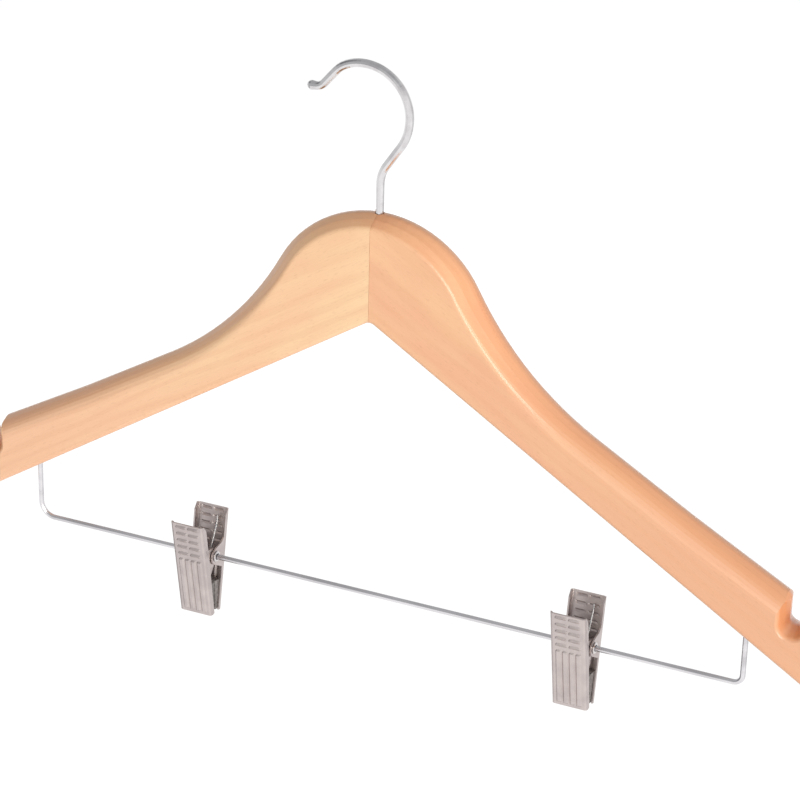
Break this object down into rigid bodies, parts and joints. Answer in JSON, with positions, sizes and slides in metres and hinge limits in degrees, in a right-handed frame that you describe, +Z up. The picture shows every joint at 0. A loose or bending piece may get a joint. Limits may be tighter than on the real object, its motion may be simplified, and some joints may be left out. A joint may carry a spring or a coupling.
{
  "type": "clothes hanger with clips",
  "caption": "Curved wooden clothes hanger with shoulder notches, a swivel hook, and a wire bar that carries sprung sliding clips for trousers or a skirt.",
  "frame": {"origin": "top of the space inside the hook, on the wire's inner side and in its mid plane, where the rail carries the hanger", "axes": "+X along the bar towards the right arm, +Y from the front face to the back face, +Z up"},
  "size_m": [0.445, 0.0254, 0.2655],
  "materials": {
    "beech_left": "clear satin varnish",
    "beech_right": "clear satin varnish",
    "chrome_wire": "polished",
    "bar_steel": "bright drawn wire",
    "jaw_nickel": "satin nickel plate on pressed sheet",
    "rivet_steel": "bright plate",
    "spring_steel": "bright drawn wire",
    "grip_rubber": "matt"
  },
  "bodies": {
    "hook": {"swivel_hook": "chrome_wire"},
    "hanger": {"left_arm": "beech_left", "right_arm": "beech_right", "clip_bar": "bar_steel"},
    "left_slider": {"left_clip_rivet": "rivet_steel"},
    "left_back": {"left_clip_back_jaw": "jaw_nickel", "left_clip_back_pad": "grip_rubber", "left_clip_spring": "spring_steel"},
    "left_front": {"left_clip_front_jaw": "jaw_nickel", "left_clip_front_pad": "grip_rubber"},
    "right_slider": {"right_clip_rivet": "rivet_steel"},
    "right_back": {"right_clip_back_jaw": "jaw_nickel", "right_clip_back_pad": "grip_rubber", "right_clip_spring": "spring_steel"},
    "right_front": {"right_clip_front_jaw": "jaw_nickel", "right_clip_front_pad": "grip_rubber"}
  },
  "joints": [
    {"name": "hook_swivel", "type": "hinge", "parent": "hook", "child": "hanger", "pos_m": [0.0082, 0, -0.05], "axis": [0, 0, 1], "continuous": true},
    {"name": "left_clip_slide", "type": "slide", "parent": "hanger", "child": "left_slider", "axis": [1, 0, 0], "range_m": [-0.067, 0.162]},
    {"name": "left_clip_swing", "type": "hinge", "parent": "left_slider", "child": "left_back", "pos_m": [-0.0768, 0, -0.2338], "axis": [1, 0, 0], "continuous": true},
    {"name": "left_clip_open", "type": "hinge", "parent": "left_back", "child": "left_front", "pos_m": [-0.0768, 0, -0.2338], "axis": [1, 0, 0], "range_deg": [-24, 0], "stiffness_Nm_per_rad": 0.5, "deforming": ["left_clip_spring"]},
    {"name": "right_clip_slide", "type": "slide", "parent": "hanger", "child": "right_slider", "axis": [1, 0, 0], "range_m": [-0.162, 0.058]},
    {"name": "right_clip_swing", "type": "hinge", "parent": "right_slider", "child": "right_back", "pos_m": [0.1035, 0, -0.2338], "axis": [1, 0, 0], "continuous": true},
    {"name": "right_clip_open", "type": "hinge", "parent": "right_back", "child": "right_front", "pos_m": [0.1035, 0, -0.2338], "axis": [1, 0, 0], "range_deg": [-24, 0], "stiffness_Nm_per_rad": 0.5, "deforming": ["right_clip_spring"]}
  ]
}
